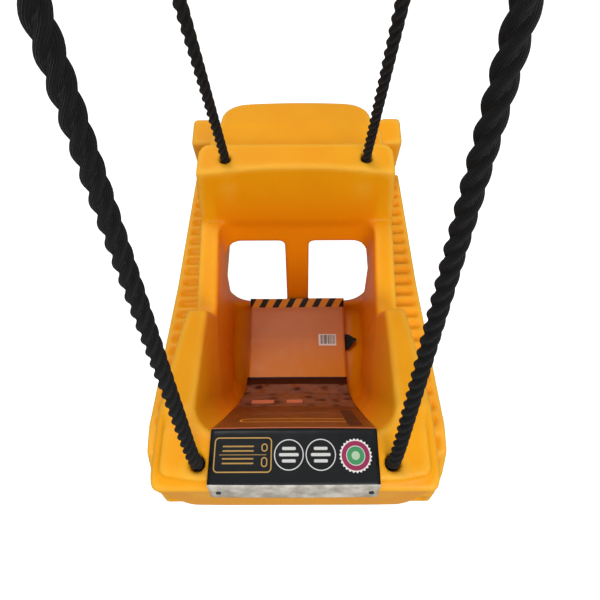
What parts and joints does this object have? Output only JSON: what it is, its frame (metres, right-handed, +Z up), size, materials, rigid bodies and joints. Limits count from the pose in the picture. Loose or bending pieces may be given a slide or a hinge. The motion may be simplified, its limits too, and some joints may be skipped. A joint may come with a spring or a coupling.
{
  "type": "toddler bucket swing",
  "caption": "Moulded toddler bucket swing shaped like a bulldozer, with leg openings and lap strap, hung on folded ropes from carabiners.",
  "frame": {"origin": "midway between the two inner tops of the carabiners, where the swing hangs", "axes": "+Z up, +Y forward towards the blade, +X to the child's right hand side"},
  "size_m": [0.406, 0.65, 1.182],
  "materials": {
    "moulding": "satin yellow rotational moulding",
    "rope": "black braided polyester rope",
    "steel": "zinc plated",
    "plated_steel": "bright zinc plated",
    "sleeve": "pressed sleeve",
    "webbing": "woven nylon webbing",
    "buckle_plastic": "textured moulded plastic",
    "card": "printed coated card",
    "pin_plastic": "smooth moulded plastic"
  },
  "bodies": {
    "hangers": {"carabiner_left": "plated_steel", "carabiner_right": "plated_steel", "gate_pin_left": "steel", "gate_pin_right": "steel"},
    "gate_left": {"gate_left": "plated_steel", "gate_spring_left": "steel"},
    "gate_right": {"gate_right": "plated_steel", "gate_spring_right": "steel"},
    "seat": {"seat_back": "moulding", "seat_floor": "moulding", "side_wall_left": "moulding", "side_wall_right": "moulding", "front_panel": "moulding", "dash": "moulding", "hood": "moulding", "nose": "moulding", "blade": "moulding", "track_left": "moulding", "track_right": "moulding", "rope_left": "rope", "rope_right": "rope", "knot_washers": "steel", "stopper_knots": "rope", "thimble_left": "steel", "thimble_right": "steel", "ferrule_left": "sleeve", "ferrule_right": "sleeve", "strap_right": "webbing", "buckle_housing": "buckle_plastic", "strap_loops": "buckle_plastic", "loop_screws": "steel", "hang_card": "card", "card_pins": "pin_plastic"},
    "buckle": {"buckle_insert": "buckle_plastic", "strap_left": "webbing"}
  },
  "joints": [
    {"name": "swing", "type": "hinge", "parent": "hangers", "child": "seat", "pos_m": [0, 0, -0.087], "axis": [1, 0, 0], "range_deg": [-40, 40]},
    {"name": "gate_left_hinge", "type": "hinge", "parent": "hangers", "child": "gate_left", "pos_m": [-0.071, 0, -0.057], "axis": [0, -1, 0], "range_deg": [0, 26], "stiffness_Nm_per_rad": 0.05, "springref_deg": -22.92},
    {"name": "gate_right_hinge", "type": "hinge", "parent": "hangers", "child": "gate_right", "pos_m": [0.071, 0, -0.057], "axis": [0, 1, 0], "range_deg": [0, 26], "stiffness_Nm_per_rad": 0.05, "springref_deg": -22.92},
    {"name": "buckle_release", "type": "slide", "parent": "seat", "child": "buckle", "axis": [-1, 0, 0], "range_m": [0, 0.024]}
  ]
}
